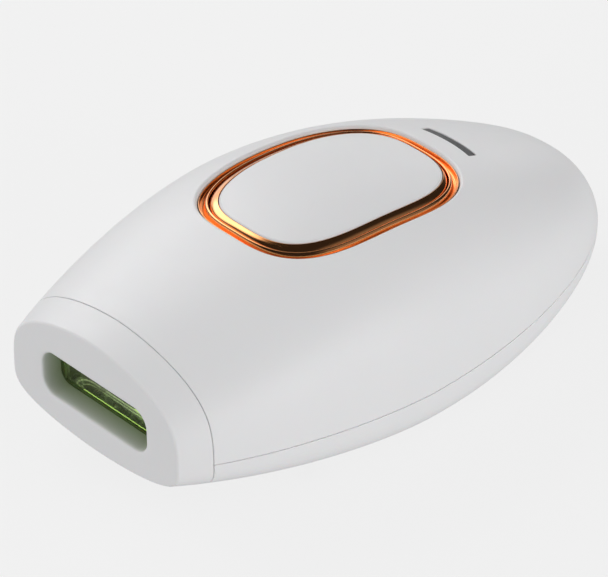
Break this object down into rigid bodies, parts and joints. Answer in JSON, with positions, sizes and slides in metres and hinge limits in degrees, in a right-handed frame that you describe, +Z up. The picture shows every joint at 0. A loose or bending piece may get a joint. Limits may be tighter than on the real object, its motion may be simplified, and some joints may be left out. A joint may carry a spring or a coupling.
{
  "type": "ipl hair remover",
  "caption": "Rounded hand-held flash hair remover with a plug-in lamp head, gold-rimmed flash button, indicator slot, cooling fan and power inlet.",
  "frame": {"origin": "on the resting plane, under the middle of the device's length", "axes": "+X towards the light window, +Y to the user's left, +Z up through the flash button"},
  "size_m": [0.1498, 0.0842, 0.049],
  "materials": {
    "case_plastic": "satin off-white moulded plastic",
    "button_plastic": "satin off-white moulded plastic",
    "head_plastic": "satin off-white moulded plastic",
    "rose_gold": "rose-gold plated",
    "smoked_lens": "smoked, glossy",
    "clear_plastic": "frosted clear plastic",
    "circuit_board": "solder-mask green",
    "led_resin": "pale resin",
    "black_plastic": "black moulded plastic",
    "dark_plastic": "dark grey moulded plastic",
    "amber_plastic": "amber plunger",
    "capacitor_sleeve": "dark blue sleeve",
    "ferrite": "sintered ferrite",
    "winding_tape": "yellow winding tape",
    "coil_resin": "red dipped resin",
    "bare_aluminium": "bare",
    "mirror_aluminium": "polished reflector",
    "steel": "zinc plated",
    "contact_brass": "gold-flashed brass",
    "red_wire": "silicone insulation",
    "white_wire": "insulation",
    "black_wire": "insulation",
    "filter_glass": "yellow-green filter glass",
    "quartz": "clear quartz",
    "silicone": "translucent silicone",
    "holder_plastic": "heat-resistant ivory plastic"
  },
  "bodies": {
    "case": {"top_shell": "case_plastic", "bottom_shell": "case_plastic", "surround_ring": "rose_gold", "button_tray": "dark_plastic", "button_springs": "steel", "tray_screws": "steel", "switch_board": "circuit_board", "switch_body": "black_plastic", "indicator_window": "smoked_lens", "light_pipe": "clear_plastic", "indicator_board": "circuit_board", "indicator_leds": "led_resin", "main_board": "circuit_board", "flash_capacitor": "capacitor_sleeve", "capacitor_cradle": "dark_plastic", "transformer_core": "ferrite", "transformer_winding": "winding_tape", "trigger_coil": "coil_resin", "power_transistor": "black_plastic", "heat_sink": "bare_aluminium", "control_chips": "black_plastic", "fan_frame": "black_plastic", "fan_screws": "steel", "inlet_housing": "black_plastic", "inlet_pin": "contact_brass", "inlet_spring": "contact_brass", "head_socket": "dark_plastic", "socket_contacts": "contact_brass", "socket_screws": "steel", "case_screws": "steel", "board_screws": "steel", "lamp_leads": "red_wire", "signal_leads": "white_wire", "power_leads": "black_wire"},
    "flash_button": {"button_cap": "button_plastic", "button_skirt": "rose_gold", "button_carrier": "black_plastic"},
    "plunger": {"switch_plunger": "amber_plastic"},
    "rotor": {"fan_rotor": "dark_plastic"},
    "lamp_head": {"head_shell": "head_plastic", "filter_glass": "filter_glass", "glass_gasket": "silicone", "glass_clip": "bare_aluminium", "flash_tube": "quartz", "tube_ends": "steel", "reflector": "mirror_aluminium", "lamp_holder": "holder_plastic", "head_pins": "contact_brass", "head_screws": "steel"}
  },
  "joints": [
    {"name": "button_press", "type": "slide", "parent": "case", "child": "flash_button", "axis": [0, 0, -1], "range_m": [0, 0.0006], "deforming": ["button_springs"]},
    {"name": "plunger_press", "type": "slide", "parent": "case", "child": "plunger", "axis": [0, 0, -1], "range_m": [0, 0.0006]},
    {"name": "fan_spin", "type": "hinge", "parent": "case", "child": "rotor", "pos_m": [0.029, 0, 0.02], "axis": [1, 0, 0], "continuous": true},
    {"name": "head_release", "type": "slide", "parent": "case", "child": "lamp_head", "axis": [1, 0, 0], "range_m": [0, 0.032]}
  ],
  "couplings": [
    {"joint": "plunger_press", "follows": "button_press", "ratio": 1}
  ]
}
